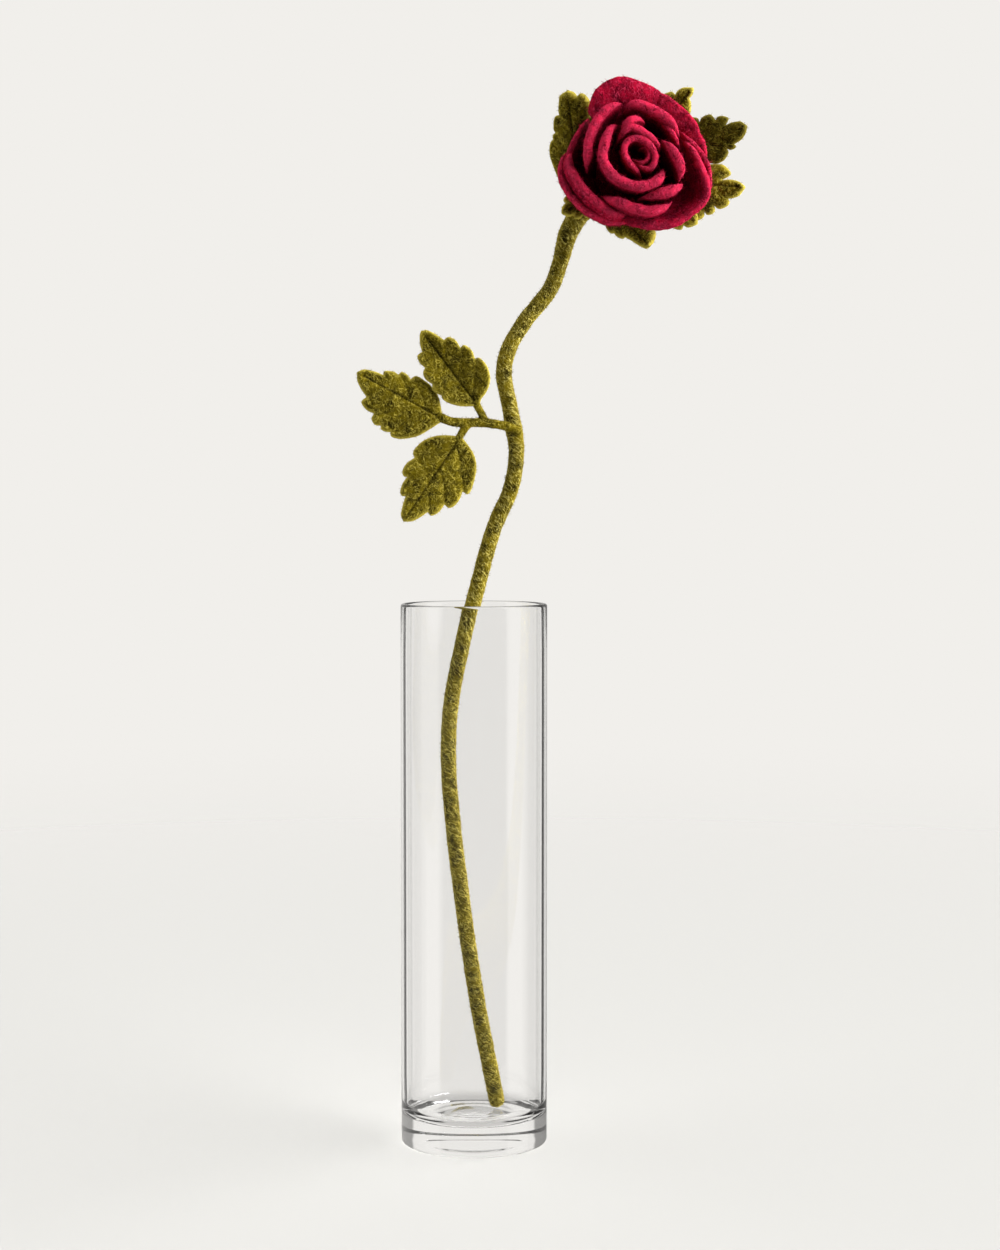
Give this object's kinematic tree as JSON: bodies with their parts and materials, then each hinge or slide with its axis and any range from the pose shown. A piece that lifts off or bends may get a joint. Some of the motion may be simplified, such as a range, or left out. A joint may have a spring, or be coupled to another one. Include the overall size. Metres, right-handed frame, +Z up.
{
  "type": "felted rose in a bud vase",
  "caption": "Life-size rose of needle-felted wool, with a wavy stem, a scalloped leaf and sepals, resting in a straight clear glass cylinder vase.",
  "frame": {"origin": "centre of the vase's flat bottom, on the surface it stands on", "axes": "+Z up along the vase's axis; -Y is the front, the way the bloom faces; +X to the right seen from the front, the way the bloom leans out"},
  "size_m": [0.1602, 0.0639, 0.4349],
  "materials": {
    "clear_glass": "polished",
    "steel_wire": "drawn",
    "olive_felt": "felted wool, matt and fuzzy",
    "crimson_felt": "felted wool, matt and fuzzy"
  },
  "bodies": {
    "root": {"glass_vase": "clear_glass", "stem_wire": "steel_wire", "wool_stem": "olive_felt", "leaf_spray": "olive_felt", "calyx": "olive_felt", "rose_bloom": "crimson_felt"}
  },
  "joints": []
}
